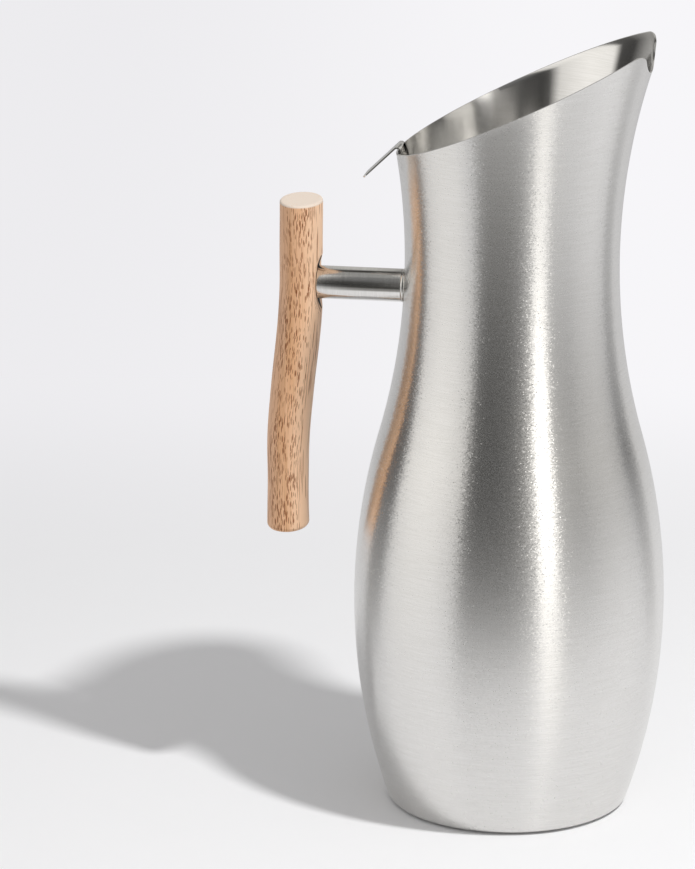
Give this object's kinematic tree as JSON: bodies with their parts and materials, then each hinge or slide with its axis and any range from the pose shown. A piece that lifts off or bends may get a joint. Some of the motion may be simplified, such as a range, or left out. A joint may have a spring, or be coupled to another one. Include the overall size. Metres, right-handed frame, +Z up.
{
  "type": "water pitcher",
  "caption": "Brushed steel water pitcher with a swelling belly, slanted scooped mouth, wooden grip bar on a steel post and a strainer lid that rocks on the rim.",
  "frame": {"origin": "middle of the pad's underside, on the axis of the body, at table level", "axes": "+Z up along the body's axis, +X towards the pouring lip, handle on -X"},
  "size_m": [0.155, 0.12, 0.3009],
  "materials": {
    "brushed_body": "fine brushing round the body",
    "satin_sheet": "satin sheet",
    "polished_post": "polished",
    "plain_steel": "machined",
    "insert_brass": "machined",
    "grip_wood": "oiled, open pores",
    "black_rubber": "matte"
  },
  "bodies": {
    "pitcher": {"body_shell": "brushed_body", "base_plate": "satin_sheet", "base_pad": "black_rubber", "handle_boss": "polished_post", "handle_stud": "plain_steel", "handle_tube": "polished_post", "grip_insert": "insert_brass", "grip_gasket": "black_rubber", "handle_grip": "grip_wood"},
    "lid": {"lid_plate": "satin_sheet", "lid_tab": "satin_sheet", "lid_rivets": "plain_steel"}
  },
  "joints": [
    {"name": "lid_rock", "type": "hinge", "parent": "pitcher", "child": "lid", "pos_m": [-0.04361, 0, 0.25787], "axis": [0, -1, 0], "range_deg": [0, 42]}
  ]
}
